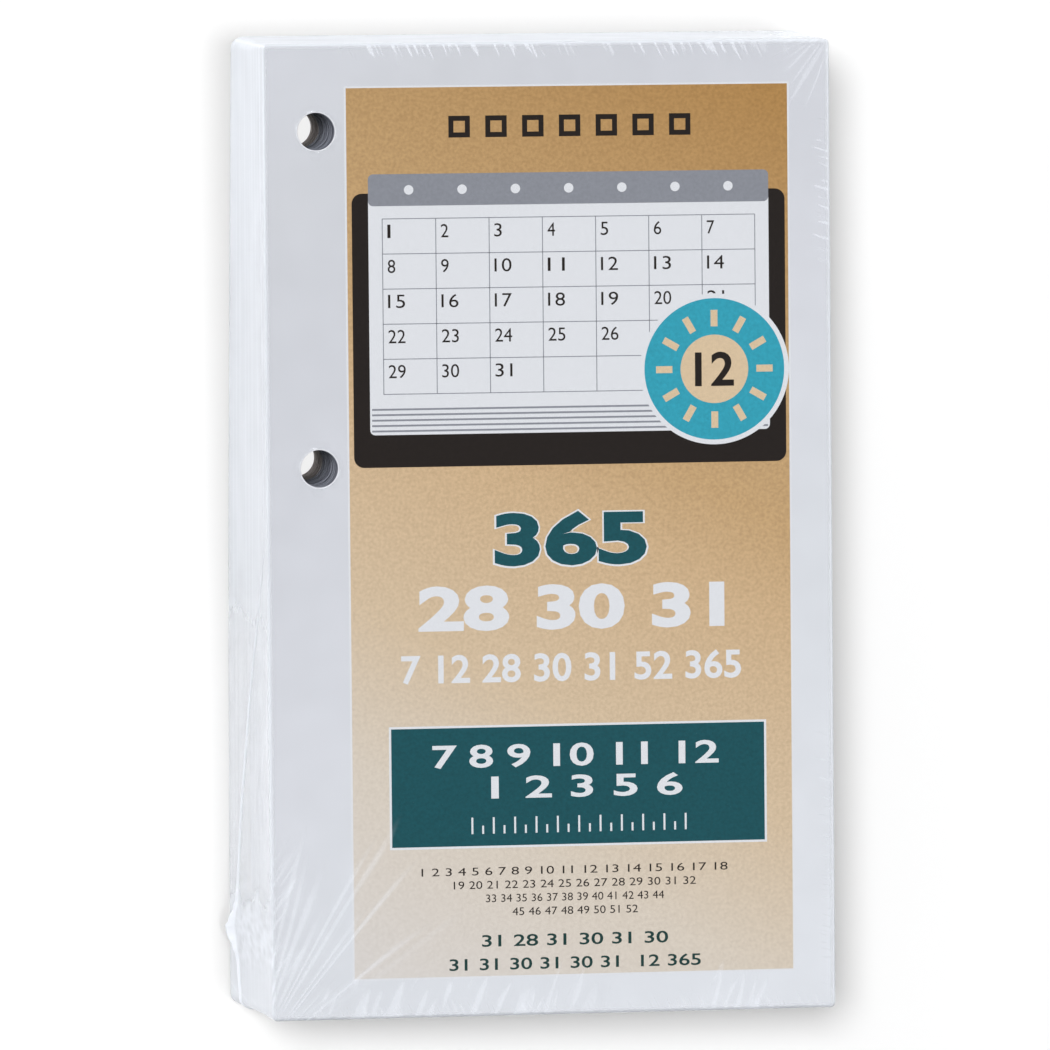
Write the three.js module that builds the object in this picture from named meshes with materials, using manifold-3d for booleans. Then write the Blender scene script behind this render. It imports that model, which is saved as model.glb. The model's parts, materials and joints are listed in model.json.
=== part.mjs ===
// A pack of loose page-a-day calendar sheets with a printed cover sheet, wrapped in clear shrink film.
// It lies on its back: +Z points out of the cover, +Y towards the top of the page, +X to its right.
// Millimetres. The origin is on the underside of the film, below the middle of the sheets.

import * as THREE from "three";
import { mergeVertices } from "three/addons/utils/BufferGeometryUtils.js";
import Module from "manifold-3d";

const wasm = await Module();
wasm.setup();

// Sheets: 3 1/2 by 6 inches
const sheetWidth = 88.9;
const sheetLength = 152.4;
const sheetThickness = 0.086;
const coverThickness = 0.12;
const sheetsInWeek = 7;
const weeksInYear = 52;
const sheetsLeftOver = 1;

// Punched holes, measured on the cover
const holeDiameter = 5.9;
const holeFromLeft = 7.9;
const firstHoleFromTop = 13.2;
const holeSpacing = 52.8;
const holeSides = 16;

// How far a week of loose sheets strays from the square, and how far round, in radians, the stray
// turns from one week to the next, along X and along Y
const strayMost = 0.06;
const strayTurnX = 2.4;
const strayTurnY = 1.7;

// Film: its own thickness, and its bends round the edges of the cover and of the base
const filmThickness = 0.1;
const filmClearance = 0.35;
const coverBend = 0.3;
const baseBend = 0.9;

// How far the film stands off the sheets at the base; it lies close to them at the cover
const flareLeftAtTop = 1.5;
const flareLeftAtBottom = 3.2;
const flareTop = 1.0;
const flareBottom = 1.0;
const flareRight = 0.8;
const flareCurve = 1.3;

// The film is melted back round each punched hole
const filmHoleMargin = 0.5;
const filmHoleSides = 24;

// Welded seam on the left, top and bottom sides; the right side is the fold of the film.
// The seam stands out fully over its crest, which is a share of its half width
const seamHeight = 28.5;
const seamHalfWidth = 0.5;
const seamCrest = 0.4;
const seamStandsOut = 0.35;

// Dog-ear where the seam ends, low on the left side, which draws the seam down towards it:
// how far down, from how far away, and how steeply
const earFromBottom = 11.5;
const earHalfLength = 3.4;
const earReach = 1.1;
const earDroop = 3;
const seamDip = 22.5;
const seamDipReach = 62;
const seamDipCurve = 1.6;

// Spacing of the film's facets along its sides, and the finer spacing beside the dog-ear
const sideStep = 14;
const earStep = 2.2;
const cornerSteps = 3;
const bendSteps = 3;

const weekThickness = sheetThickness * sheetsInWeek;
const right = sheetWidth / 2;
const top = sheetLength / 2;
const holeX = -right + holeFromLeft;
const holeYs = [top - firstHoleFromTop, top - firstHoleFromTop - holeSpacing];
const earY = -top + earFromBottom;

// The levels that faces share: the sheets lie on the inside of the film and on each other
const stackBottom = filmThickness;
const stackTop =
  stackBottom + sheetsLeftOver * sheetThickness + weeksInYear * weekThickness + coverThickness;
const filmTop = stackTop + filmThickness;

function paper(color) {
  return new THREE.MeshStandardMaterial({ color, roughness: 0.75, metalness: 0 });
}

function clearFilm() {
  return new THREE.MeshStandardMaterial({
    color: 0xe8edf0,
    roughness: 0.15,
    metalness: 0,
    transparent: true,
    opacity: 0.3,
  });
}

// A ring of points whose flat sides touch the true circle from outside, so that a ring of that size still passes
function roundPoints(x, y, radius, sides) {
  const reach = radius / Math.cos(Math.PI / sides);
  return Array.from({ length: sides }, (_, i) => {
    const angle = (2 * Math.PI * i) / sides;
    return new THREE.Vector2(x + reach * Math.cos(angle), y + reach * Math.sin(angle));
  });
}

// Sheets of paper from one level to another, with both holes punched through them
function punchedSheets(name, bottom, ceiling, color) {
  const outline = new THREE.Shape([
    new THREE.Vector2(-right, -top),
    new THREE.Vector2(right, -top),
    new THREE.Vector2(right, top),
    new THREE.Vector2(-right, top),
  ]);
  for (const y of holeYs) {
    outline.holes.push(new THREE.Path(roundPoints(holeX, y, holeDiameter / 2, holeSides)));
  }
  const depth = ceiling - bottom;
  const geometry = new THREE.ExtrudeGeometry(outline, { depth, bevelEnabled: false });
  const points = geometry.getAttribute("position");
  for (let i = 0; i < points.count; i++) {
    points.setZ(i, points.getZ(i) > depth / 2 ? ceiling : bottom);
  }
  const mesh = new THREE.Mesh(geometry, paper(color));
  mesh.name = name;
  return mesh;
}

// Loose sheets never lie quite square: each week strays a little its own way
function stray(mesh, count) {
  const x = strayMost * Math.sin(strayTurnX * count);
  const y = strayMost * Math.cos(strayTurnY * count);
  mesh.position.set(x, y, 0);
}

function sheetStack() {
  const stack = new THREE.Group();
  let level = stackBottom;
  const lay = (name, thickness, color) => {
    const mesh = punchedSheets(name, level, level + thickness, color);
    level += thickness;
    stack.add(mesh);
    return mesh;
  };
  const days = sheetsInWeek * weeksInYear + sheetsLeftOver;
  lay(`day_${days}_sheet`, sheetsLeftOver * sheetThickness, 0xdfe1e4);
  for (let week = weeksInYear; week > 0; week--) {
    const name = `week_${String(week).padStart(2, "0")}_sheets`;
    stray(lay(name, weekThickness, 0xdfe1e4), week);
  }
  const cover = punchedSheets("cover_sheet", level, stackTop, 0xd3d6dc);
  stack.add(cover);
  return stack;
}

// Places round the film, anticlockwise from the top of the left side, on its inner face at the cover:
// where each lies and which way is out
function filmStations() {
  const bend = 2 * filmClearance;
  const x = right + filmClearance - bend;
  const y = top + filmClearance - bend;
  const stations = [];
  const side = (from, to, nx, ny, steps) => {
    for (const t of steps) {
      const at = new THREE.Vector2().lerpVectors(from, to, t);
      stations.push({ x: at.x + nx * bend, y: at.y + ny * bend, nx, ny });
    }
  };
  const corner = (cx, cy, startAngle) => {
    for (let i = 0; i <= cornerSteps; i++) {
      const angle = startAngle + (Math.PI / 2) * (i / cornerSteps);
      const nx = Math.cos(angle);
      const ny = Math.sin(angle);
      stations.push({ x: cx + bend * nx, y: cy + bend * ny, nx, ny });
    }
  };
  const topLeft = new THREE.Vector2(-x, y);
  const bottomLeft = new THREE.Vector2(-x, -y);
  const bottomRight = new THREE.Vector2(x, -y);
  const topRight = new THREE.Vector2(x, y);
  side(topLeft, bottomLeft, -1, 0, leftSteps(y));
  corner(-x, -y, Math.PI);
  side(bottomLeft, bottomRight, 0, -1, evenSteps(2 * x));
  corner(x, -y, 1.5 * Math.PI);
  side(bottomRight, topRight, 1, 0, evenSteps(2 * y));
  corner(x, y, 0);
  side(topRight, topLeft, 0, 1, evenSteps(2 * x));
  corner(-x, y, 0.5 * Math.PI);
  return stations;
}

// Shares of a side's length at which its inner stations stand
function evenSteps(length) {
  const count = Math.max(2, Math.round(length / sideStep));
  return Array.from({ length: count - 1 }, (_, i) => (i + 1) / count);
}

// The same on the left side, from the top down, with close steps over the dog-ear
function leftSteps(halfSide) {
  const earSpan = 2 * earHalfLength;
  const steps = [];
  let y = halfSide;
  for (;;) {
    y -= Math.abs(y - earY) < earSpan + sideStep / 2 ? earStep : sideStep;
    if (y < -halfSide + earStep / 2) return steps;
    steps.push((halfSide - y) / (2 * halfSide));
  }
}

// How much of the full flare the film has at a height: all of it at the base and none at the cover
function flareShare(height) {
  const depth = (stackTop - height) / (stackTop - baseRadius);
  return Math.pow(THREE.MathUtils.clamp(depth, 0, 1), flareCurve);
}

function leftFlareAt(y) {
  const down = THREE.MathUtils.clamp((top - y) / sheetLength, 0, 1);
  return THREE.MathUtils.lerp(flareLeftAtTop, flareLeftAtBottom, Math.sin((Math.PI / 2) * down));
}

// A point of the film at a station: its height, and how far outside the film's inner face it lies
function filmPoint(station, height, outward) {
  const share = flareShare(height);
  const flareX = station.nx > 0 ? flareRight : leftFlareAt(station.y);
  const flareY = station.ny > 0 ? flareTop : flareBottom;
  return new THREE.Vector3(
    station.x + station.nx * (outward + share * flareX),
    station.y + station.ny * (outward + share * flareY),
    height,
  );
}

function seamHeightAt(station) {
  const away = Math.hypot(station.x + right, station.y - earY) / seamDipReach;
  return seamHeight - seamDip * (1 - Math.min(1, away) ** seamDipCurve);
}

// 1 at the dog-ear's middle, falling to nothing beside it and on the other sides
function earShare(station) {
  const away = (station.y - earY) / earHalfLength;
  return Math.max(0, -station.nx) * Math.exp(-away * away);
}

// The bend of the base can't be wider than the flat that the sheets leave beside them
const baseRadius = Math.min(
  baseBend,
  filmClearance + Math.min(flareRight, flareBottom, flareTop, flareLeftAtTop),
);
const coverRadius = Math.min(coverBend, filmThickness + filmClearance / 2);

// Rings of the film's outer or inner face, from the flat of the base up to the flat of the cover
function filmRings(stations, outer) {
  const skin = outer ? filmThickness : 0;
  const floorLevel = outer ? 0 : stackBottom;
  const coverLevel = outer ? filmTop : stackTop;
  const centreOut = filmThickness - baseRadius;
  const coverOut = filmThickness - coverRadius;
  const rings = [];
  const ring = (pointAt) => rings.push(stations.map(pointAt));

  for (let i = 0; i <= bendSteps; i++) {
    const angle = (Math.PI / 2) * (i / bendSteps);
    const radius = baseRadius - floorLevel;
    const height = i ? baseRadius - radius * Math.cos(angle) : floorLevel;
    ring((s) => filmPoint(s, height, centreOut + radius * Math.sin(angle)));
  }
  ring((s) => filmPoint(s, (baseRadius + seamHeightAt(s)) / 2 - seamHalfWidth, skin));
  if (outer) {
    for (const [share, stands] of [[-1, 0], [-seamCrest, 1], [seamCrest, 1], [1, 0]]) {
      ring((s) => {
        const ear = earShare(s) * stands;
        const height = seamHeightAt(s) + share * seamHalfWidth;
        const welded = 1 - Math.max(0, s.nx);
        const out = skin + stands * welded * seamStandsOut + ear * earReach;
        const point = filmPoint(s, height, out);
        point.z -= ear * earDroop;
        return point;
      });
    }
  } else {
    ring((s) => filmPoint(s, seamHeightAt(s), skin));
  }
  ring((s) => filmPoint(s, (seamHeightAt(s) + stackTop) / 2, skin));
  for (let i = 0; i <= bendSteps; i++) {
    const angle = (Math.PI / 2) * (i / bendSteps);
    const radius = coverRadius - (outer ? 0 : filmThickness);
    const height = i < bendSteps ? filmTop - coverRadius + radius * Math.sin(angle) : coverLevel;
    ring((s) => filmPoint(s, height, coverOut + radius * Math.cos(angle)));
  }
  return rings;
}

// A closed body through the rings, with a flat face at each end
function loftSolid(rings) {
  const count = rings[0].length;
  const points = rings.flat();
  const faces = [];
  for (let r = 0; r + 1 < rings.length; r++) {
    for (let i = 0; i < count; i++) {
      const a = r * count + i;
      const b = r * count + ((i + 1) % count);
      faces.push(a, b, b + count, a, b + count, a + count);
    }
  }
  const ends = THREE.ShapeUtils.triangulateShape(rings[0].map((p) => new THREE.Vector2(p.x, p.y)), []);
  const lid = (rings.length - 1) * count;
  for (const [a, b, c] of ends) faces.push(c, b, a);
  const lids = THREE.ShapeUtils.triangulateShape(rings.at(-1).map((p) => new THREE.Vector2(p.x, p.y)), []);
  for (const [a, b, c] of lids) faces.push(lid + a, lid + b, lid + c);
  const geometry = new THREE.BufferGeometry();
  geometry.setAttribute(
    "position",
    new THREE.Float32BufferAttribute(points.flatMap((p) => [p.x, p.y, p.z]), 3),
  );
  geometry.setIndex(faces);
  return solidFrom(geometry);
}

function solidFrom(geometry) {
  const bare = geometry.clone();
  bare.deleteAttribute("normal");
  bare.deleteAttribute("uv");
  const merged = mergeVertices(bare, 1e-4);
  return new wasm.Manifold(
    new wasm.Mesh({
      numProp: 3,
      vertProperties: merged.getAttribute("position").array,
      triVerts: new Uint32Array(merged.index.array),
    }),
  );
}

function geometryFrom(solid) {
  const mesh = solid.getMesh();
  const geometry = new THREE.BufferGeometry();
  geometry.setAttribute("position", new THREE.BufferAttribute(mesh.vertProperties, mesh.numProp));
  geometry.setIndex(new THREE.BufferAttribute(mesh.triVerts, 1));
  return geometry;
}

// Puts points that a cut left a hair off one of the shared levels back on it
function settleOnLevels(geometry) {
  const points = geometry.getAttribute("position");
  for (const level of [0, stackBottom, stackTop, filmTop]) {
    for (let i = 0; i < points.count; i++) {
      if (Math.abs(points.getZ(i) - level) < 1e-3) points.setZ(i, level);
    }
  }
}

function filmHole(y) {
  const outline = new THREE.Shape(roundPoints(holeX, y, holeDiameter / 2 + filmHoleMargin, filmHoleSides));
  const past = 1;
  const geometry = new THREE.ExtrudeGeometry(outline, { depth: filmTop + 2 * past, bevelEnabled: false });
  return solidFrom(geometry.translate(0, 0, -past));
}

function shrinkFilm() {
  const stations = filmStations();
  let film = loftSolid(filmRings(stations, true)).subtract(loftSolid(filmRings(stations, false)));
  for (const y of holeYs) film = film.subtract(filmHole(y));
  const geometry = geometryFrom(film);
  settleOnLevels(geometry);
  const mesh = new THREE.Mesh(geometry, clearFilm());
  mesh.name = "shrink_film";
  return mesh;
}

const pack = new THREE.Group();
pack.add(shrinkFilm(), sheetStack());

export default pack;
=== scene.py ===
import json
import math

import bmesh
import bpy
from mathutils import Matrix, Vector, noise


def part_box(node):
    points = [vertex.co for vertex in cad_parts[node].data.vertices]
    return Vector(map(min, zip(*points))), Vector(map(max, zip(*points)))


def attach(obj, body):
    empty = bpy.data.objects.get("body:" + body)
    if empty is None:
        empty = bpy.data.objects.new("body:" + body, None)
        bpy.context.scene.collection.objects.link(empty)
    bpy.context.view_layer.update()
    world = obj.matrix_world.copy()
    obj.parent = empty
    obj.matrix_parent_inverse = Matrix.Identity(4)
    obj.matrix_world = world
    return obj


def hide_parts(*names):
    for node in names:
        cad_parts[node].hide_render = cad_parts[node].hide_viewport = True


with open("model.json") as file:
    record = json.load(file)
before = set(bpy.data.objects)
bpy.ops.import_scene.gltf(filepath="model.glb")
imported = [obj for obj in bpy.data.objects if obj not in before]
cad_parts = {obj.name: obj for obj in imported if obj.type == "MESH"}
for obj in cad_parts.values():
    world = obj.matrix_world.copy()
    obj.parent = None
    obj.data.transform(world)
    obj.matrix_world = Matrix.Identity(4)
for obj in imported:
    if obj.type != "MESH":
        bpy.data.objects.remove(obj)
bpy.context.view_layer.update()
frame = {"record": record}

# A shrink-wrapped pack of page-a-day calendar sheets, lying on its back.
# Lengths are in millimetres up to the point where a mesh or a material takes them. Places on the
# cover are written from its left and top edges, as a printer would.
MM = 0.001
cover_low, cover_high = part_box("cover_sheet")
SHEET_WIDTH = (cover_high.x - cover_low.x) / MM
SHEET_LENGTH = (cover_high.y - cover_low.y) / MM
HALF_WIDTH, HALF_LENGTH = SHEET_WIDTH / 2, SHEET_LENGTH / 2
COVER_TOP = cover_high.z / MM
FILM_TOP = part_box("shrink_film")[1].z / MM
WEEKS = 52
ROOT = "root"

# Punched holes: their middles come from the stated openings, their size from the cover's own
HOLES = [
    ((low[0] + high[0]) / 2 / MM, (low[1] + high[1]) / 2 / MM)
    for low, high in (o["box_m"] for o in frame["record"]["physics"]["openings"])
]
HOLE_RADIUS = 2.95
# Up to this height the walls of the ring holes are painted paler: painted light, as if light came up
# through the holes from below
LOW_PUNCHED = 10.5

# Layout of the cover
PANEL_LEFT, PANEL_TOP, PANEL_RIGHT, PANEL_BOTTOM = 12.65, 6.5, 82.6, 146.5
PANEL_RULE = 0.3
BOX = (18.8, 107.2, 78.2, 125.9)
BOX_RULE = 0.35
SEAL = (70.7, 51.3)
SEAL_RADIUS = 11.9
PAGE = (16.0, 20.0, 79.5, 56.5)
# Each colour of ink is a layer this thick, and later colours lie on earlier ones
INK = 0.005

# Film. Its main sizes are those of the CAD film. The bare ring at the holes, the weld and the
# dog-ear are smaller than there, as they look in the photograph.
FILM_SKIN = 0.04
FILM_INDEX = 1.5
FILM_CLEARANCE = 0.35
FILM_WALL = 0.1
FILM_OPENING = HOLE_RADIUS + 0.2
COVER_BEND = 0.275
BASE_BEND = 0.9
CORNER_BEND = 2 * FILM_CLEARANCE
WALL_X, WALL_Y = HALF_WIDTH + FILM_CLEARANCE, HALF_LENGTH + FILM_CLEARANCE
# From the outline of the walls out to the rim of the flat over the cover, so it is less than 0
FLAT_OUT = FILM_WALL - COVER_BEND
FLARE_LEFT_TOP = 1.5
FLARE_LEFT_BOTTOM = 3.2
FLARE_TOP = 1.0
FLARE_BOTTOM = 1.0
FLARE_RIGHT = 0.8
FLARE_CURVE = 1.3
SEAM_HEIGHT = 28.5
SEAM_STANDS_OUT = 0.21
SEAM_DIP = 22.5
SEAM_DIP_REACH = 62.0
SEAM_DIP_CURVE = 1.6
# How far above the weld its own rings start, and how far below it the close rings end
BEAD_SIDE = 0.6
BELOW_SEAM = 2.8
EAR_Y = -HALF_LENGTH + 11.5
EAR_HALF_LENGTH = 2.8
EAR_REACH = 1.1
EAR_DROOP = 1.4

# The photograph's view: a long lens, nearly overhead, a little left of the pack and towards its top
CAMERA_PLACE = (-207.1, 93.4, 1460.4)
CAMERA_AIM = (-4.1, 0.8, COVER_TOP)
CAMERA_ROLL = -0.52
CAMERA_LENS = 315.4


def linear(colour):
    """An sRGB hex colour such as "#1F585C" as linear red, green, blue and alpha."""
    parts = [int(colour[i : i + 2], 16) / 255 for i in (1, 3, 5)]
    return [c / 12.92 if c <= 0.04045 else ((c + 0.055) / 1.055) ** 2.4 for c in parts] + [1.0]


def node_adder(tree):
    """Clears a node tree and gives the function that adds nodes to it."""
    tree.nodes.clear()

    def add(kind, inputs=(), stops=(), **settings):
        """Adds a node. Settings are its own properties. Inputs, by name or in order, are values,
        sockets, or nodes that feed it by their first output. Stops are a ramp's places and colours."""
        made = tree.nodes.new("ShaderNode" + kind)
        for name, value in settings.items():
            setattr(made, name, value)
        if stops:
            elements = made.color_ramp.elements
            while len(elements) < len(stops):
                elements.new(0.5)
            for element, (place, colour) in zip(elements, stops):
                element.position = place
                element.color = linear(colour) if isinstance(colour, str) else colour
        for name, value in inputs.items() if isinstance(inputs, dict) else enumerate(inputs):
            if isinstance(value, bpy.types.Node):
                value = next(output for output in value.outputs if output.enabled)
            if isinstance(value, bpy.types.NodeSocket):
                tree.links.new(value, made.inputs[name])
            else:
                made.inputs[name].default_value = value
        return made

    return add


def material(name):
    """A new material, and the function that adds nodes to it."""
    made = bpy.data.materials.new(name)
    made.use_nodes = True
    return made, node_adder(made.node_tree)


def matt_surface(add, colour, roughness, relief=None, index=1.45):
    """Ends a material as paper or ink; relief is a height, and how strong and how deep its bumps are."""
    inputs = {"Base Color": colour, "Roughness": roughness, "IOR": index}
    if relief:
        height, strength, depth = relief
        inputs["Normal"] = add("Bump", {"Height": height, "Strength": strength, "Distance": depth * MM})
    add("OutputMaterial", {"Surface": add("BsdfPrincipled", inputs)})


def grain(add, size, detail, stretch=(1, 1, 1)):
    """Noise whose blotches are about size across, on the piece's own coordinates."""
    place = add("Mapping", {"Vector": add("TexCoord").outputs["Object"], "Scale": stretch})
    return add("TexNoise", {"Vector": place, "Scale": 1 / (size * MM), "Detail": detail})


def swell(add, value, start, end):
    """0 where value is at start, 1 at end, smooth between; start may be the greater."""
    inputs = {"Value": value, "From Min": min(start, end), "From Max": max(start, end)}
    if start > end:
        inputs.update({"To Min": 1.0, "To Max": 0.0})
    return add("MapRange", inputs, interpolation_type="SMOOTHSTEP")


def product(add, value, *others):
    """The value times the others; a product of masks is 1 only where each of them is 1."""
    for other in others:
        value = add("Math", (value, other), operation="MULTIPLY")
    return value


def slope_over_cover(add, across, spread):
    """0.5 at the cover's middle, and more towards its bottom: by 1 / spread from edge to edge, and by
    across / spread from its left edge to its right one."""
    direction = (across / (spread * SHEET_WIDTH * MM), -1 / (spread * SHEET_LENGTH * MM), 0)
    place = add("TexCoord").outputs["Object"]
    slope = add("VectorMath", (place, direction), operation="DOT_PRODUCT")
    return add("Math", (slope, 0.5), operation="ADD")


def printed_ink(name, colour, spread):
    """Offset ink on smooth paper: flat colour, darker and lighter by spread as the fibres drink it."""
    made, add = material(name)
    fibres = grain(add, 0.5, 4)
    base = linear(colour)[:3]
    dark = [c * (1 - spread) for c in base] + [1.0]
    light = [min(1.0, c * (1 + spread)) for c in base] + [1.0]
    mottled = add("ValToRGB", {"Fac": fibres}, [(0.3, dark), (0.7, light)])
    matt_surface(add, mottled, 0.5, (fibres, 0.15, 0.01))
    return made


def smooth_offset_paper():
    """Coated white cover stock: cool white with faint cloudiness, and painted shade that makes it a
    little greyer near its top and its left, standing in for uneven light on the cover.
    """
    made, add = material("smooth_offset_paper")
    # Painted shade: the whites grow greyer towards the cover's top and its left, where the light on it
    # is weaker
    whites = [
        (0.02, "#DBDDE3"),
        (0.12, "#D6D8DD"),
        (0.25, "#D7D9DF"),
        (0.4, "#DADCE2"),
        (0.52, "#DEE0E6"),
        (0.65, "#E0E3E8"),
        (0.8, "#E3E6EB"),
        (0.95, "#E6E9EE"),
    ]
    white = add("ValToRGB", {"Fac": slope_over_cover(add, 0.5, 1.5)}, whites)
    clouds = [(0.3, (0.97, 0.97, 0.97, 1)), (0.7, (1.01, 1.01, 1.01, 1))]
    cloudy = add("ValToRGB", {"Fac": grain(add, 6.0, 5)}, clouds)
    inputs = {"Factor": 1.0, "A": white, "B": cloudy}
    colour = add("Mix", inputs, data_type="RGBA", blend_type="MULTIPLY")
    matt_surface(add, colour, 0.6, (grain(add, 0.3, 3), 0.2, 0.01))
    return made


def uncoated_day_paper():
    """Uncoated white writing paper, seen by its cut edges: fine level lines, and painted shade in the
    punched holes, darker as deep narrow holes are, with painted light that makes the bottom of their
    walls paler."""
    made, add = material("uncoated_day_paper")
    # Single sheets, 0.086 mm, are too fine to show, so the lines are drawn about four sheets apart
    lines = grain(add, 0.35, 3, (0.004, 0.004, 1))
    # Cut edges; the walls of the holes, in painted shade; and the bottom of those walls, in painted
    # light, paler as if lit from below through the holes
    cut, punched, foot = (
        add("ValToRGB", {"Fac": lines}, [(0.35, dark), (0.6, light)])
        for dark, light in (("#C5C8CF", "#CED1D7"), ("#6A6E7A", "#A5A9B6"), ("#A79E9C", "#CFC6C2"))
    )
    place = add("TexCoord").outputs["Object"]
    height = add("SeparateXYZ", (place,)).outputs["Z"]
    lowest = swell(add, height, (LOW_PUNCHED + 0.4) * MM, (LOW_PUNCHED - 0.4) * MM)
    in_plan = add("VectorMath", (place, (1, 1, 0)), operation="MULTIPLY")
    off = [add("VectorMath", (in_plan, (x * MM, y * MM, 0)), operation="DISTANCE") for x, y in HOLES]
    nearest = add("Math", off, operation="MINIMUM")
    in_hole = swell(add, nearest, (HOLE_RADIUS + 0.6) * MM, (HOLE_RADIUS + 0.3) * MM)
    # The sides throw little light back on the table, so that it keeps the pack's faint outer shadow
    thrown = product(add, add("LightPath").outputs["Is Diffuse Ray"], 0.8)
    # Painted shade on the hole walls, with painted light at their bottom
    walls = add("Mix", {"Factor": lowest, "A": punched, "B": foot}, data_type="RGBA")
    colour = add("Mix", {"Factor": in_hole, "A": cut, "B": walls}, data_type="RGBA")
    colour = add("Mix", {"Factor": thrown, "A": colour, "B": linear("#303236")}, data_type="RGBA")
    matt_surface(add, colour, 0.8, (lines, 0.12, 0.03), 1.4)
    return made


def kraft_tint_ink():
    """Kraft-brown tint printed on the cover: golden tan at the upper right, fading to pale beige at
    the lower left, with flecks that grow fainter there."""
    made, add = material("kraft_tint_ink")
    place = slope_over_cover(add, -0.32, 1.2)
    tans = [
        (0.02, "#B48A52"),
        (0.25, "#C29F70"),
        (0.39, "#C9A77A"),
        (0.48, "#D3B58E"),
        (0.65, "#D8C2A4"),
        (0.79, "#DCD1C2"),
        (0.96, "#DDD8D3"),
    ]
    fleck_stops = [(0.3, (0.86, 0.84, 0.82, 1)), (0.65, (1.06, 1.06, 1.06, 1))]
    inputs = {
        "Factor": add("ValToRGB", {"Fac": place}, [(0.4, (1, 1, 1, 1)), (0.9, (0.4, 0.4, 0.4, 1))]),
        "A": add("ValToRGB", {"Fac": place}, tans),
        "B": add("ValToRGB", {"Fac": grain(add, 0.5, 5)}, fleck_stops),
    }
    matt_surface(add, add("Mix", inputs, data_type="RGBA", blend_type="MULTIPLY"), 0.55)
    return made


def fold_lines(add, across, along, sharp):
    """Lines of folds, a space of about 2 apart across, that change slowly along; 1 on a line."""
    place = add("CombineXYZ", (across, along))
    lines = add("TexNoise", {"Vector": place, "Scale": 1.0, "Detail": 0.0}, noise_dimensions="2D")
    return swell(add, lines, *sharp)


def even_fold_lines(add, across, along, sharp):
    """Like fold_lines, but soft and nearly even, as folds drawn out from one corner are."""
    place = add("CombineXYZ", (across, along))
    wander = add("TexNoise", {"Vector": place, "Scale": 0.45, "Detail": 0.0}, noise_dimensions="2D")
    phase = add("Math", (wander, 6.0, product(add, across, math.pi)), operation="MULTIPLY_ADD")
    lines = swell(add, add("Math", (phase,), operation="SINE"), *sharp)
    return product(add, lines, fold_lines(add, product(add, across, 0.4), along, (0.2, 0.55)))


def own_length(add, across, reach, change=0.7):
    """How far each fold reaches: a slow noise across the folds, up to about reach."""
    own = add("TexNoise", {"W": across, "Scale": change, "Detail": 0.0}, noise_dimensions="1D")
    return product(add, own, 1.5 * reach * MM)


def fan_of_folds(add, middle, near, far, folds, sharp, between, even=False):
    """Folds that spread round a place on the cover between two directions, in degrees, each tapering
    to a point at both ends; soft and nearly even, or else of all strengths."""
    place = add("TexCoord").outputs["Object"]
    height = add("SeparateXYZ", (place,)).outputs["Z"]
    away = add("VectorMath", (place, on_cover(*middle)), operation="SUBTRACT")
    away = add("VectorMath", (away, (1, 1, 0)), operation="MULTIPLY")
    parts = add("SeparateXYZ", (away,)).outputs
    turn = add("Math", (parts["Y"], parts["X"]), operation="ARCTAN2")
    across = product(add, turn, folds / math.pi)
    reach = add("VectorMath", (away,), operation="LENGTH")
    # The folds change over about 26 mm on their way out
    along = add("Math", (reach, 26 * MM), operation="DIVIDE")
    length = own_length(add, across, far, 0.25 if even else 0.7)
    short_by = add("Math", (length, reach), operation="SUBTRACT")
    low, high = (math.radians(direction) for direction in between)
    soft_side = 0.12
    return product(
        add,
        (even_fold_lines if even else fold_lines)(add, across, along, sharp),
        swell(add, reach, 0.6 * near * MM, 1.5 * near * MM),
        swell(add, short_by, -0.05 * far * MM, 0.2 * far * MM),
        swell(add, height, (COVER_TOP - 0.4) * MM, COVER_TOP * MM),
        swell(add, turn, low, low + soft_side),
        swell(add, turn, high, high - soft_side),
    )


def edge_gathers(add, upright, reach, spacing, lean, spans, sharp=(0.6, 0.7)):
    """Short bright folds across two opposite edges of the cover: the left and right ones if upright,
    or the bottom and top ones. Spans are how strong they are along each, as stops from 0 to 1."""
    half_along, half_inward = (HALF_LENGTH, HALF_WIDTH) if upright else (HALF_WIDTH, HALF_LENGTH)
    parts = add("SeparateXYZ", (add("TexCoord").outputs["Object"],)).outputs
    along, side = (parts["Y"], parts["X"]) if upright else (parts["X"], parts["Y"])
    off_middle = add("Math", (side,), operation="ABSOLUTE")
    inward = add("Math", (half_inward * MM, off_middle), operation="SUBTRACT")
    # The two edges read far-apart places of one noise, and lean opposite ways
    leaning = add("Math", (side, lean, along), operation="MULTIPLY_ADD")
    across = add("Math", (leaning, 0.5 * spacing * MM), operation="DIVIDE")
    slow = add("Math", (side, 9 * MM), operation="DIVIDE")
    short_by = add("Math", (own_length(add, across, reach), inward), operation="SUBTRACT")
    share = add("Math", (along, 0.5 / (half_along * MM), 0.5), operation="MULTIPLY_ADD")
    low, high = (
        add("ValToRGB", {"Fac": share}, [(stop, (v, v, v, 1)) for stop, v in span]) for span in spans
    )
    is_high = add("Math", (side, 0.0), operation="GREATER_THAN")
    return product(
        add,
        fold_lines(add, across, slow, sharp),
        swell(add, short_by, 0.0, 0.3 * reach * MM),
        swell(add, inward, -0.3 * MM, 0.1 * MM),
        add("Mix", {"Factor": is_high, "A": low, "B": high}, data_type="RGBA"),
    )


def wall_creases(add):
    """Long level creases down the pack's side walls, where the film is drawn in lengthways."""
    parts = add("SeparateXYZ", (add("TexCoord").outputs["Object"],)).outputs
    slow = add("Math", (parts["Y"], 70 * MM), operation="DIVIDE")
    across = add("Math", (parts["Z"], 1.3 * MM), operation="DIVIDE")
    lines = fold_lines(add, across, slow, (0.52, 0.68))
    return product(add, lines, swell(add, parts["Z"], (COVER_TOP - 0.1) * MM, (COVER_TOP - 0.8) * MM))


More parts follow.
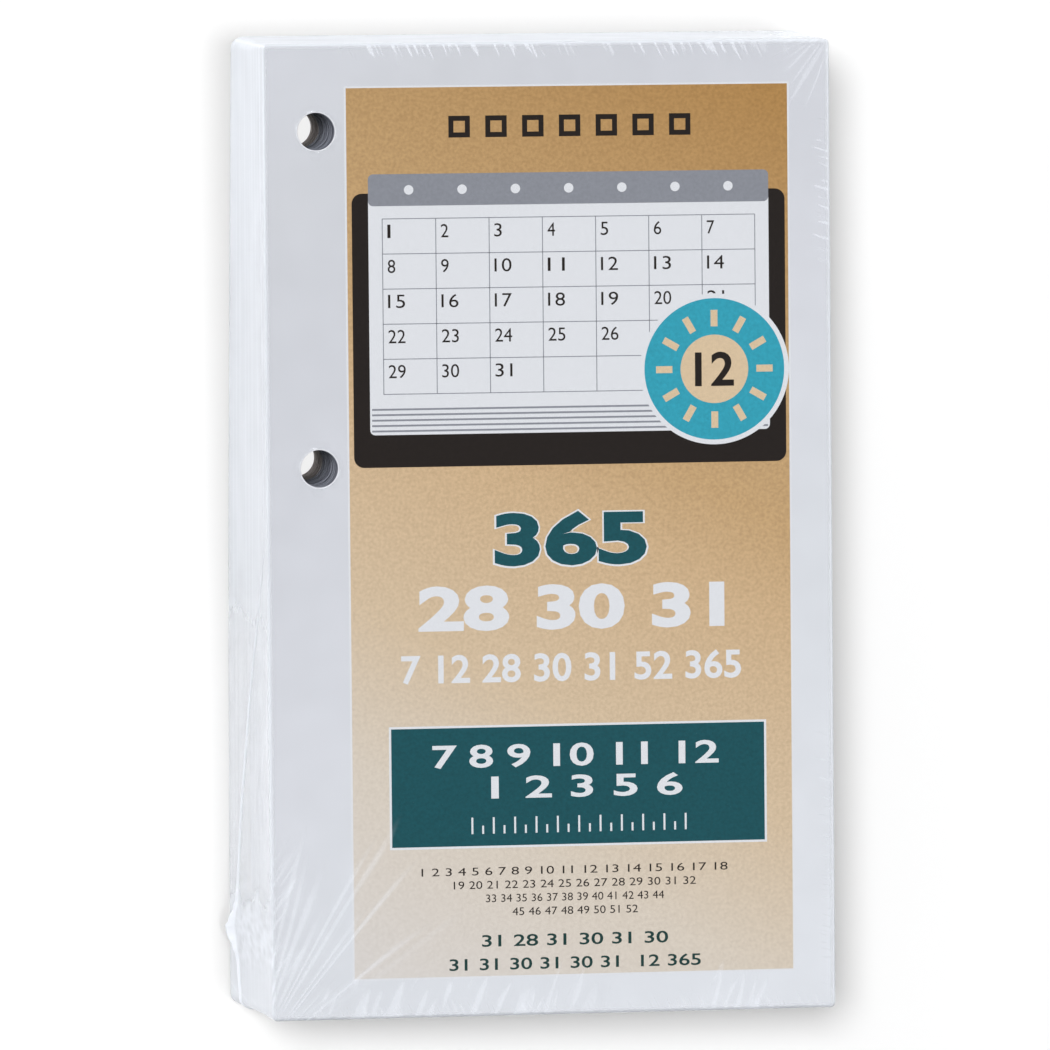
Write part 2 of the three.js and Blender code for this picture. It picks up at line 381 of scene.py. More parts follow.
def clear_shrink_film():
    """Polyolefin shrink film: clear and glossy, milky where the weld or the dog-ear crush it, and white
    along its folds: painted highlights there, partly the film's real whitening.
    """
    made, add = material("clear_shrink_film")
    milk = add("Attribute", attribute_name="milk").outputs["Fac"]
    # Where gathers lie along an edge, and how strong: from left to right, or from the bottom up
    nowhere = ((0.0, 0.0), (1.0, 0.0))
    bottom = ((0.0, 0.1), (0.12, 0.3), (0.5, 0.25), (0.6, 0.0), (0.7, 0.2), (1.0, 0.2))
    top = ((0.12, 0.0), (0.2, 1.0), (0.5, 0.9), (0.56, 0.1), (0.68, 1.0), (0.82, 0.9), (0.9, 0.2))
    soft_bottom = (
        (0.05, 0.0), (0.1, 1.0), (0.5, 1.0), (0.62, 0.0),
        (0.76, 0.0), (0.79, 1.0), (0.86, 1.0), (0.9, 0.0),
    )
    left_low = ((0.03, 0.0), (0.06, 0.8), (0.14, 0.8), (0.19, 0.0))
    right = (
        (0.0, 0.0), (0.1, 0.2), (0.22, 0.3), (0.3, 0.0),
        (0.76, 0.0), (0.8, 0.7), (0.9, 0.7), (0.94, 0.0),
    )
    large_fan = fan_of_folds(
        add, (-4.0, 160.0), near=9, far=42, folds=92, sharp=(-0.8, 1.1), between=(32, 82), even=True
    )
    small_fan = fan_of_folds(
        add, (90.5, -3.0), near=3.5, far=13, folds=50, sharp=(0.44, 0.6), between=(-175, -95)
    )
    fine_ends = edge_gathers(add, False, reach=2.4, spacing=1.0, lean=0.45, spans=(bottom, top))
    fine_sides = edge_gathers(add, True, reach=2.4, spacing=1.2, lean=0.3, spans=(nowhere, right))
    slanted = edge_gathers(add, True, reach=4.5, spacing=2.2, lean=-1.5, spans=(left_low, nowhere))
    soft = edge_gathers(
        add, False, reach=6.0, spacing=2.6, lean=-0.35, spans=(soft_bottom, nowhere), sharp=(0.42, 0.7)
    )
    # Folds too fine to model get painted highlights along their crests, partly the film's real whitening
    # there, each kind by a share of its own
    total = milk
    for folds, whiteness in (
        (large_fan, 0.14),
        (small_fan, 0.1),
        (fine_ends, 0.3),
        (fine_sides, 0.25),
        (slanted, 0.16),
        (soft, 0.13),
        (wall_creases(add), 0.03),
    ):
        total = add("Math", (folds, whiteness, total), operation="MULTIPLY_ADD")
    milkiest = 0.92
    share = add("Math", (total, milkiest), operation="MINIMUM")
    # A back face turns the node's index over, so it is given the inverse there
    back = add("NewGeometry").outputs["Backfacing"]
    index = add("MapRange", {"Value": back, "To Min": FILM_INDEX, "To Max": 1 / FILM_INDEX})
    clear = add("BsdfTransparent", {"Color": (0.99, 0.993, 1.0, 1)})
    gloss = add("BsdfGlossy", {"Color": (0.96, 0.975, 1.0, 1), "Roughness": 0.2})
    film = add("MixShader", (add("Fresnel", {"IOR": index}), clear, gloss))
    milky = add("BsdfDiffuse", {"Color": linear("#EEF2F9")})
    seen = add("MixShader", (share, film, milky))
    # Light on its way to what lies under the film, or from there to the table, meets only the
    # film's average clearness
    passing = add("MapRange", {"Value": milk, "To Min": 0.95, "To Max": 0.4})
    thinned = add("BsdfTransparent", {"Color": passing})
    path = add("LightPath").outputs
    through = add("Math", (path["Is Shadow Ray"], path["Is Diffuse Ray"]), operation="MAXIMUM")
    add("OutputMaterial", {"Surface": add("MixShader", (through, seen, thinned))})
    return made


def glowing_white(name, albedo, glow, mirrored_glow):
    """White that takes the shadow, and looks brighter than the light on it makes it: by glow to the
    camera, and by mirrored_glow in whatever reflects it."""
    made, add = material(name)
    lit = add("BsdfDiffuse", {"Color": (albedo, albedo, albedo, 1)})
    path = add("LightPath").outputs
    sent_on = add("Math", (path["Is Glossy Ray"], path["Is Transmission Ray"]), operation="MAXIMUM")
    mirrored = product(add, sent_on, mirrored_glow)
    strength = add("Math", (path["Is Camera Ray"], glow, mirrored), operation="MULTIPLY_ADD")
    shine = add("Emission", {"Color": (1, 1, 1, 1), "Strength": strength})
    add("OutputMaterial", {"Surface": add("AddShader", (lit, shine))})
    return made


def lit_card():
    """White card that glows though it is no lamp: painted light under the ring holes, seen through them
    as bright white, and lighting the bottoms of the holes over it.
    """
    made, add = material("bright_card")
    shine = add("Emission", {"Color": linear("#F0F0F0"), "Strength": 1.0})
    add("OutputMaterial", {"Surface": shine})
    return made


def piece(name, bm, mat, slot, smooth=False):
    """Makes the bmesh a piece of the pack."""
    mesh = bpy.data.meshes.new(name)
    bm.to_mesh(mesh)
    bm.free()
    mesh.materials.append(mat)
    if smooth:
        mesh.polygons.foreach_set("use_smooth", [True] * len(mesh.polygons))
    made = bpy.data.objects.new(name, mesh)
    bpy.context.scene.collection.objects.link(made)
    if slot:
        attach(made, ROOT)
    return made


def on_cover(x, y, z=0.0):
    """A place from the cover's left and top edges, and above its face, in the frame's metres."""
    return Vector((x - HALF_WIDTH, HALF_LENGTH - y, COVER_TOP + z)) * MM


def rectangle(bm, place, width, length):
    """A flat rectangle, its middle and its turn given by the matrix place; all in metres."""
    made = bmesh.ops.create_grid(bm, x_segments=1, y_segments=1, size=0.5)
    size = Matrix.Diagonal((width, length, 1, 1))
    bmesh.ops.transform(bm, matrix=place @ size, verts=made["verts"])
    return made["verts"]


def faces_at(verts):
    return list({f for v in verts for f in v.link_faces})


def thicken(bm, faces, depth=INK):
    """Draws flat faces down by depth into a closed slab."""
    grown = bmesh.ops.extrude_face_region(bm, geom=faces)
    moved = [g for g in grown["geom"] if isinstance(g, bmesh.types.BMVert)]
    bmesh.ops.translate(bm, verts=moved, vec=(0, 0, -depth * MM))


def ink_rectangle(bm, x0, y0, x1, y1, layer, corner=0.0):
    """A printed rectangle; x from the left, y from the top, corner is the radius of its corners."""
    middle = on_cover((x0 + x1) / 2, (y0 + y1) / 2, layer * INK)
    verts = rectangle(bm, Matrix.Translation(middle), (x1 - x0) * MM, (y1 - y0) * MM)
    if corner:
        verts = bmesh.ops.bevel(
            bm,
            geom=verts,
            offset=corner * MM,
            affect="VERTICES",
            segments=6,
            profile=0.5,
            material=-1,
        )["verts"]
    thicken(bm, faces_at(verts))


def ink_disc(bm, x, y, radius, layer, segments=96):
    place = Matrix.Translation(on_cover(x, y, layer * INK))
    made = bmesh.ops.create_circle(
        bm, cap_ends=True, radius=radius * MM, segments=segments, matrix=place
    )
    thicken(bm, faces_at(made["verts"]))


def ink_numerals(bm, text, box, layer, bolder=0.0, gap=1.0):
    """Plain numerals that fill the box (x0, y0, x1, y1); bolder thickens their strokes, which closes
    the counter of a 4, and gap sets how wide a space between them is."""
    curve = bpy.data.curves.new("numerals", "FONT")
    curve.body = text
    curve.offset = bolder
    curve.space_word = gap
    curve.resolution_u = 4
    holder = bpy.data.objects.new("numerals", curve)
    bpy.context.scene.collection.objects.link(holder)
    mesh = bpy.data.meshes.new_from_object(holder.evaluated_get(bpy.context.evaluated_depsgraph_get()))
    low, high = (
        Vector([end(v.co[k] for v in mesh.vertices) for k in range(3)]) for end in (min, max)
    )
    x0, y0, x1, y1 = box
    scale = Matrix.Diagonal(
        ((x1 - x0) / (high.x - low.x) * MM, (y1 - y0) / (high.y - low.y) * MM, 1, 1)
    )
    place = Matrix.Translation(on_cover(x0, y1, layer * INK))
    mesh.transform(place @ scale @ Matrix.Translation(-low))
    first = len(bm.faces)
    bm.from_mesh(mesh)
    bm.faces.ensure_lookup_table()
    thicken(bm, bm.faces[first:])
    bpy.data.objects.remove(holder)
    bpy.data.curves.remove(curve)
    bpy.data.meshes.remove(mesh)


def ink_piece(name, bm, mat):
    bmesh.ops.recalc_face_normals(bm, faces=bm.faces)
    for face in bm.faces:
        face.smooth = False
    piece(name, bm, mat, "cover_paper")


def punched_sheet(name, low, high, mat, slot, sides, replaced):
    """A rectangle of paper between two corners of a CAD sheet, with both ring holes punched through."""
    stray = (low + high) / 2
    bm = bmesh.new()
    rectangle(bm, Matrix.Translation((stray.x, stray.y, high.z)), high.x - low.x, high.y - low.y)
    bmesh.ops.delete(bm, geom=bm.faces[:], context="FACES_ONLY")
    for x, y in HOLES:
        place = Matrix.Translation((x * MM + stray.x, y * MM + stray.y, high.z))
        bmesh.ops.create_circle(bm, radius=HOLE_RADIUS * MM, segments=sides, matrix=place)
    bmesh.ops.triangle_fill(bm, edges=bm.edges[:], use_beauty=True)
    thicken(bm, bm.faces[:], (high.z - low.z) / MM)
    bmesh.ops.recalc_face_normals(bm, faces=bm.faces)
    made = piece(name, bm, mat, slot)
    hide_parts(replaced)


def fade(value, start, end):
    """0 at start, 1 at end, smooth between."""
    t = min(1.0, max(0.0, (value - start) / (end - start)))
    return t * t * (3 - 2 * t)


def film_place(station, height, outward):
    """Where the film is at a station (x, y, angle of its outward direction), height and stand-off."""
    x, y, angle = station
    nx, ny = math.cos(angle), math.sin(angle)
    down = min(1.0, max(0.0, (HALF_LENGTH - y) / SHEET_LENGTH))
    left = FLARE_LEFT_TOP + (FLARE_LEFT_BOTTOM - FLARE_LEFT_TOP) * math.sin(math.pi / 2 * down)
    # None of the flare at the cover, all of it at the base
    depth = (COVER_TOP - height) / (COVER_TOP - BASE_BEND)
    share = min(1.0, max(0.0, depth)) ** FLARE_CURVE
    flare_x = FLARE_RIGHT if nx > 0 else left
    flare_y = FLARE_TOP if ny > 0 else FLARE_BOTTOM
    return Vector((x + nx * (outward + share * flare_x), y + ny * (outward + share * flare_y), height))


def along_wall(station):
    x, y, angle = station
    return y if abs(math.cos(angle)) > 0.7 else x


def from_ear(station):
    """How far off the dog-ear a station is, as a share of the reach of the weld's dip."""
    return math.hypot(station[0] + HALF_WIDTH, station[1] - EAR_Y) / SEAM_DIP_REACH


def seam_height(station):
    return SEAM_HEIGHT - SEAM_DIP * (1 - min(1.0, from_ear(station)) ** SEAM_DIP_CURVE)


def seam_far(station):
    """1 where the weld runs just under the cover's edge, flatter and clearer than by the dog-ear."""
    return fade(from_ear(station), 0.6, 0.95)


def welded(station):
    """1 where the film is welded, 0 at its fold on the right."""
    return 1 - max(0.0, math.cos(station[2]))


def ear_share(station):
    away = (station[1] - EAR_Y) / EAR_HALF_LENGTH
    return max(0.0, -math.cos(station[2])) * math.exp(-away * away)


def seam_out(station):
    """How far the weld stands out of the wall."""
    crumple = 1 + 0.8 * noise.noise(Vector((station[1] / 0.9, 3.0, 8.0)))
    weld = welded(station) * (1 - 0.6 * seam_far(station)) * SEAM_STANDS_OUT
    return weld + ear_share(station) * EAR_REACH * crumple


def seam_milk(station, height):
    off = abs(height - seam_height(station))
    return 0.75 * welded(station) * (1 - fade(off, 0.25, 0.8)) * (1 - 0.85 * seam_far(station))


def ear_drop(station, height):
    off = abs(height - seam_height(station))
    return ear_share(station) * EAR_DROOP * (1 - fade(off, 0.3, 0.85))


# Modelled folds that fan out over the cover from its corners: the place they spread from, how near
# and how far they reach, how many to the full turn, and how high they stand
FANS = (
    {"x": -4.0, "y": 160.0, "near": 6.0, "far": 38.0, "folds": 76, "height": 0.025},
    {"x": 90.5, "y": -3.0, "near": 3.0, "far": 15.0, "folds": 44, "height": 0.08},
)
# Modelled gathers across the edges: along which edge, from, to, how far in they reach
GATHERS = (
    ("top", 12, 86, 2.6),
    ("right", 14, 42, 2.4),
    ("right", 120, 140, 2.4),
    ("bottom", 8, 86, 3.0),
    ("left", 95, 150, 2.0),
)
GATHER_SPACING = 1.7
GATHER_HEIGHT = 0.05


def ridge(value):
    """1 on the crest of a fold, 0 between folds."""
    return 0.5 - 0.5 * math.cos(2 * math.pi * value)


def fan_relief(x, y):
    total = 0.0
    for fan in FANS:
        dx, dy = x - fan["x"], y - fan["y"]
        reach, near, far = math.hypot(dx, dy), fan["near"], fan["far"]
        if reach > far:
            continue
        # The folds wander as they run out, and some are stronger than others
        turn = math.atan2(dy, dx) / (2 * math.pi)
        wander = noise.noise(Vector((turn * 9, reach / 22, fan["folds"]))) * 0.6
        some = 0.5 + 0.5 * noise.noise(Vector((turn * 40, fan["folds"], reach / 30)))
        body = fade(reach, near, near * 2.2) * (1 - fade(reach, far * 0.45, far))
        total += fan["height"] * body * some * ridge(turn * fan["folds"] + wander)
    return total


def gather_relief(x, y):
    total = 0.0
    inward = {"top": y, "bottom": SHEET_LENGTH - y, "left": x, "right": SHEET_WIDTH - x}
    for edge, start, end, reach in GATHERS:
        along = x if edge in ("top", "bottom") else y
        if inward[edge] > 2 * reach or not start - 3 < along < end + 3:
            continue
        spread = noise.noise(Vector((along / 5, len(edge) * 7.0, start)))
        pitch = along / GATHER_SPACING + 0.8 * spread
        longer = 0.5 + 0.5 * noise.noise(Vector((math.floor(pitch) * 3.7, start, reach)))
        body = 1 - fade(inward[edge], 0.2 * reach, reach * (0.4 + 1.2 * longer))
        body *= fade(longer, 0.25, 0.7)
        ends = fade(along, start - 2, start + 2) * (1 - fade(along, end - 2, end + 2))
        total += GATHER_HEIGHT * body * ends * ridge(pitch)
    return total


def cover_relief(x, y):
    """How high the film stands above where it lies tight, at a place on the cover."""
    slack = 0.035 * (0.5 + 0.5 * noise.noise(Vector((x / 14, y / 20, 3.1))))
    to_rim = min(x, y, SHEET_WIDTH - x, SHEET_LENGTH - y)
    to_hole = min(math.hypot(x - HALF_WIDTH - hx, HALF_LENGTH - y - hy) for hx, hy in HOLES)
    tight = fade(to_rim, 0.0, 1.2) * fade(to_hole, HOLE_RADIUS + 2.3, HOLE_RADIUS + 6)
    return (fan_relief(x, y) + gather_relief(x, y) + slack) * tight


def side_relief(station, height):
    """Long creases along the sides, and the facets of crumpled film by the dog-ear."""
    along = along_wall(station)
    creases = noise.noise(Vector((along / 60, height / 4.0, math.cos(station[2]) * 5)))
    relief = 0.07 * creases * fade(COVER_TOP - height, 0.0, 8.0)
    crush = ear_crush(station, height)
    if crush >= 0.02:
        facets = noise.voronoi(Vector((along / 2.6, height / 2.6, 2.0)))[0][0]
        fine = noise.voronoi(Vector((along / 1.1, height / 1.1, 7.0)))[0][0]
        relief += crush * (0.4 * facets + 0.25 * fine)
    # The last bend, round the base, is smooth
    return relief * (1 - fade(height, 3.0, BASE_BEND))


def ear_crush(station, height):
    """How crumpled the left wall is: most at the dog-ear, less above it, and a little near its top."""
    x, y, angle = station
    if math.cos(angle) > -0.5:
        return 0.0
    beside = (y - EAR_Y - 1.0) / 5.0
    above = 1 - 0.6 * fade(height, 5.0, 12.0) - 0.4 * fade(height, 18.0, 26.0)
    small = math.hypot((y - 60) / 4.0, (height - 7) / 5.0)
    base = fade(height, 1.0, 3.0)
    return base * (math.exp(-beside * beside) * above + 0.3 * math.exp(-small * small))


def wall_milk(station, height):
    """How milky a wall is: a little everywhere, more on the bends, at the weld and by the dog-ear."""
    x, y, angle = station
    cloud = noise.noise(Vector((along_wall(station) / 9, height / 6, math.sin(angle) * 3)))
    milk = 0.23 + 0.05 * cloud
    if math.cos(angle) < -0.5:
        # White from the crumple down to the corner, with a ragged upper end, and mistier up the pack
        ragged = 4.0 * noise.noise(Vector((height / 4.5, 5.0, 1.0)))
        milk += 0.22 * fade(EAR_Y + 6.0 + ragged - y, 0.0, 1.8) + 0.3 * fade(y, -22.0, 8.0)
        milk += 0.18 * fade(y, 30.0, 58.0)
        # Clearer where the sheets show through, half way down, and whitest in the crumple
        milk -= 0.14 * fade(y, -8.0, -26.0) * fade(y, EAR_Y + 4.0, EAR_Y + 10.0)
        crinkles = noise.voronoi(Vector((y / 1.4, height / 1.8, 4.0)))[0][0]
        milk += (0.32 * crinkles - 0.02) * math.exp(-(((y - EAR_Y) / 4.5) ** 2))
    if math.sin(angle) > 0.5:
        # The upper wall is mistiest from the left corner to past its middle
        milk += 0.36 * fade(x, 46.0, 14.0)
    bend = fade(height, COVER_TOP - 2.2, COVER_TOP - 0.1)
    milk = max(milk, edge_milk(station) * bend)
    return min(0.85, milk + seam_milk(station, height))


def edge_milk(station):
    """How milky the bend over the cover's edge is: least along the bottom, where it lies tight."""
    across, upright = math.cos(station[2]), math.sin(station[2])
    return 0.58 + 0.1 * max(0.0, across) - 0.08 * max(0.0, -across) - 0.26 * max(0.0, -upright)


def lines_across(half, fine_low, fine_high):
    """Grid lines from -half to half: closest at the rims, close at both ends for the folds there, and
    wide in the middle."""
    at_rim, at_folds, in_middle = 0.25, 0.42, 1.6
    place, lines = -half, [-half]
    while place < half - 0.1:
        low, high = place + half, half - place
        if min(low, high) < 1.0:
            place += at_rim
        elif low < fine_low or high < fine_high:
            place += at_folds
        else:
            place += in_middle
        lines.append(place)
    stretch = 2 * half / (lines[-1] + half)
    return [-half + (p + half) * stretch for p in lines]


def edge_station(x, y):
    """Where a point of the flat's rim goes on the rounded outline of the walls, and which way is out."""
    to_side, to_end = WALL_X + FLAT_OUT - abs(x), WALL_Y + FLAT_OUT - abs(y)
    sx, sy = math.copysign(1, x), math.copysign(1, y)
    if to_side < 1e-6 and to_end >= CORNER_BEND:
        return Vector((sx * WALL_X, y, math.atan2(0.0, sx)))
    if to_end < 1e-6 and to_side >= CORNER_BEND:
        return Vector((x, sy * WALL_Y, math.atan2(sy, 0.0)))
    past = 1 - to_end / CORNER_BEND if to_side < 1e-6 else 1 + to_side / CORNER_BEND
    nx, ny = sx * math.cos(math.pi / 4 * past), sy * math.sin(math.pi / 4 * past)
    middle_x, middle_y = sx * (WALL_X - CORNER_BEND), sy * (WALL_Y - CORNER_BEND)
    return Vector((middle_x + CORNER_BEND * nx, middle_y + CORNER_BEND * ny, math.atan2(ny, nx)))


def film_rings():
    """Rings from the cover's edge down to the weld, and on to the flat of the base. Each is two
    functions: of a station for its height, and of a station and that height for its stand-off."""
    top = FILM_TOP - COVER_BEND

    def bent(height, out):
        return lambda s: height, lambda s, h: out

    def on_wall(height_at, stands=0.0):
        """A ring on the wall; stands is how much of the weld's own stand-off it has."""
        return height_at, lambda s, h: FILM_WALL + side_relief(s, h) + stands * seam_out(s)

    def close_from(s):
        """How far above the weld the rings start to lie close together."""
        return min(5.0, 0.75 * (top - seam_height(s)))

    def close_to(s):
        """The height below the weld where they lie far apart again."""
        return seam_height(s) - BELOW_SEAM

    upper, lower = [], []
    for turn in (30, 60, 90):
        a = math.radians(turn)
        upper.append(bent(top + COVER_BEND * math.cos(a), FLAT_OUT + COVER_BEND * math.sin(a)))
    spaces = 13
    for i in range(1, spaces):
        upper.append(on_wall(lambda s, t=i / spaces: top + (seam_height(s) + close_from(s) - top) * t))
    for share in (1.0, 0.84, 0.68, 0.54, 0.4, 0.28, 0.18, 0.08):
        upper.append(
            on_wall(lambda s, t=share: seam_height(s) + BEAD_SIDE + (close_from(s) - BEAD_SIDE) * t)
        )
    for offset, stands in ((0.5, 0.15), (0.22, 0.9), (0.0, 1.0)):
        upper.append(on_wall(lambda s, o=offset: seam_height(s) + o, stands))
    for offset, stands in ((0.22, 0.9), (0.5, 0.15), (0.95, 0), (1.5, 0), (2.1, 0), (BELOW_SEAM, 0)):
        lower.append(on_wall(lambda s, o=offset: seam_height(s) - o, stands))
    for i in range(1, spaces):
        lower.append(on_wall(lambda s, t=i / spaces: close_to(s) + (BASE_BEND - close_to(s)) * t))
    for turn in (90, 60, 30, 0):
        a = math.radians(turn)
        out = FILM_WALL - BASE_BEND + BASE_BEND * math.sin(a)
        lower.append(bent(BASE_BEND - BASE_BEND * math.cos(a), out))
    return upper, lower


def draw_rings(bm, rings):
    """Draws the open rim of the film on, ring by ring."""
    station, milk = bm.verts.layers.float_vector["station"], bm.verts.layers.float["milk"]
    for height_at, out_at in rings:
        rim = [e for e in bm.edges if len(e.link_faces) < 2 and all(v[station].length for v in e.verts)]
        rim = [e for e in rim if all(v.tag for v in e.verts)] or rim
        for v in bm.verts:
            v.tag = False
        for v in bmesh.ops.extrude_edge_only(bm, edges=rim)["geom"]:
            if isinstance(v, bmesh.types.BMVert):
                v.tag = True
                s = v[station]
                height = height_at(s)
                v.co = film_place(s, height, out_at(s, height))
                v.co.z -= ear_drop(s, height)
                v[milk] = wall_milk(s, height)


def opening_edges(bm, x, y, z):
    place = Matrix.Translation((x, y, z))
    made = bmesh.ops.create_circle(bm, radius=FILM_OPENING, segments=48, matrix=place)
    return list({e for v in made["verts"] for e in v.link_edges})


def open_top_holes(bm):
    """Melts the film over the cover back round each ring hole."""
    for x, y in HOLES:
        hole = Vector((x, y))
        near = [f for f in bm.faces if (f.calc_center_median().xy - hole).length < FILM_OPENING + 1.3]
        bmesh.ops.delete(bm, geom=near, context="FACES")
        jagged = [
            e
            for e in bm.edges
            if e.is_boundary and (e.verts[0].co.xy - hole).length < FILM_OPENING + 4
        ]
        ring = opening_edges(bm, x, y, FILM_TOP)
        bmesh.ops.triangle_fill(bm, edges=jagged + ring, use_beauty=True)


def close_underside(bm):
    rim = [e for e in bm.edges if e.is_boundary and all(v.tag for v in e.verts)]
    for v in {v for e in rim for v in e.verts}:
        v.co.z = 0.0
    rings = [e for x, y in HOLES for e in opening_edges(bm, x, y, 0.0)]
    bmesh.ops.triangle_fill(bm, edges=rim + rings, use_beauty=True)


def melted_rim(bm, x, y):
    """The film draws itself up into a fine round bead where it melted back."""
    bead_radius, bead_milk = 0.03, 0.6
    place = Matrix.Translation(((x + FILM_OPENING) * MM, y * MM, FILM_TOP * MM))
    profile = bmesh.ops.create_circle(
        bm, radius=bead_radius * MM, segments=8, matrix=place @ Matrix.Rotation(math.pi / 2, 4, "X")
    )
    verts = profile["verts"]
    bmesh.ops.spin(
        bm,
        geom=verts + list({e for v in verts for e in v.link_edges}),
        cent=(x * MM, y * MM, FILM_TOP * MM),
        axis=(0, 0, 1),
        angle=2 * math.pi,
        steps=64,
        use_merge=True,
    )
    faces = set(faces_at(verts))
    bead = set(faces)
    while faces:
        faces = {g for f in faces for e in f.edges for g in e.link_faces} - bead
        bead |= faces
    milk = bm.verts.layers.float["milk"]
    for v in {v for f in bead for v in f.verts}:
        v[milk] = bead_milk
    bmesh.ops.recalc_face_normals(bm, faces=list(bead))


def finish_leaf(bm, name, upper, film):
    """Gives a leaf its thickness, inwards, and makes it a piece."""
    bmesh.ops.scale(bm, vec=(MM, MM, MM), verts=bm.verts[:])
    bmesh.ops.recalc_face_normals(bm, faces=bm.faces[:])
    flattest = max(bm.faces, key=lambda f: abs(f.normal.z))
    if (flattest.normal.z > 0) != upper:
        bmesh.ops.reverse_faces(bm, faces=bm.faces[:])
    # The stations have done their work, and their layer now holds the outer skin's places
    outer = bm.verts.layers.float_vector["station"]
    for v in bm.verts:
        v[outer] = v.co
    bmesh.ops.solidify(bm, geom=bm.faces[:], thickness=FILM_SKIN * MM)
    # Where the film is folded sharply its inner skin would be thrown far out, so it is drawn back
    for v in bm.verts:
        inwards = v.co - v[outer]
        if inwards.length > 1.5 * FILM_SKIN * MM:
            v.co = v[outer] + inwards * (FILM_SKIN * MM / inwards.length)
    bmesh.ops.recalc_face_normals(bm, faces=bm.faces[:])
    if upper:
        for x, y in HOLES:
            melted_rim(bm, x, y)
    bm.verts.layers.float_vector.remove(bm.verts.layers.float_vector["station"])
    made = piece(name, bm, film, "film", smooth=True)
    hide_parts("shrink_film")


def wrapped_film(film):
    """The film: an upper leaf over the cover and down the walls to the weld, and a lower leaf from
    the weld round the base and across the underside."""
    # The grid is fine as far in as the folds reach from the lower left and the upper right corner
    xs = lines_across(WALL_X + FLAT_OUT, 26.0, 14.0)
    ys = lines_across(WALL_Y + FLAT_OUT, 40.0, 14.0)
    bm = bmesh.new()
    bm.verts.layers.float_vector.new("station")
    milk = bm.verts.layers.float.new("milk")
    station = bm.verts.layers.float_vector["station"]
    bmesh.ops.create_grid(bm, x_segments=len(xs) - 1, y_segments=len(ys) - 1, size=0.5)
    for v in bm.verts:
        column = round((v.co.x + 0.5) * (len(xs) - 1))
        row = round((v.co.y + 0.5) * (len(ys) - 1))
        v.co = (xs[column], ys[row], FILM_TOP)
        if v.is_boundary:
            v[station] = edge_station(v.co.x, v.co.y)

    open_top_holes(bm)
    rim_milk, hole_milk = 0.35, 0.05
    for v in bm.verts:
        if v.is_boundary and v[station].length:
            v.co = film_place(v[station], FILM_TOP, FLAT_OUT)
            v[milk] = edge_milk(v[station])
        elif max(abs(v.co.x) - HALF_WIDTH, abs(v.co.y) - HALF_LENGTH) > -0.2:
            v[milk] = rim_milk
        elif v.is_boundary:
            v[milk] = hole_milk
        v.co.z = FILM_TOP + cover_relief(v.co.x + HALF_WIDTH, HALF_LENGTH - v.co.y)

    upper, lower = film_rings()
    draw_rings(bm, upper)
    lower_leaf = bm.copy()
    finish_leaf(bm, "clear_film_upper", True, film)

    # The lower leaf starts from the same ring at the weld
    bm = lower_leaf
    station = bm.verts.layers.float_vector["station"]
    weld = {v for v in bm.verts if v.is_boundary and v[station].length}
    bmesh.ops.delete(bm, geom=list(set(bm.verts) - weld), context="VERTS")
    bmesh.ops.delete(bm, geom=bm.faces[:], context="FACES_ONLY")
    draw_rings(bm, lower)
    close_underside(bm)
    finish_leaf(bm, "clear_film_lower", False, film)


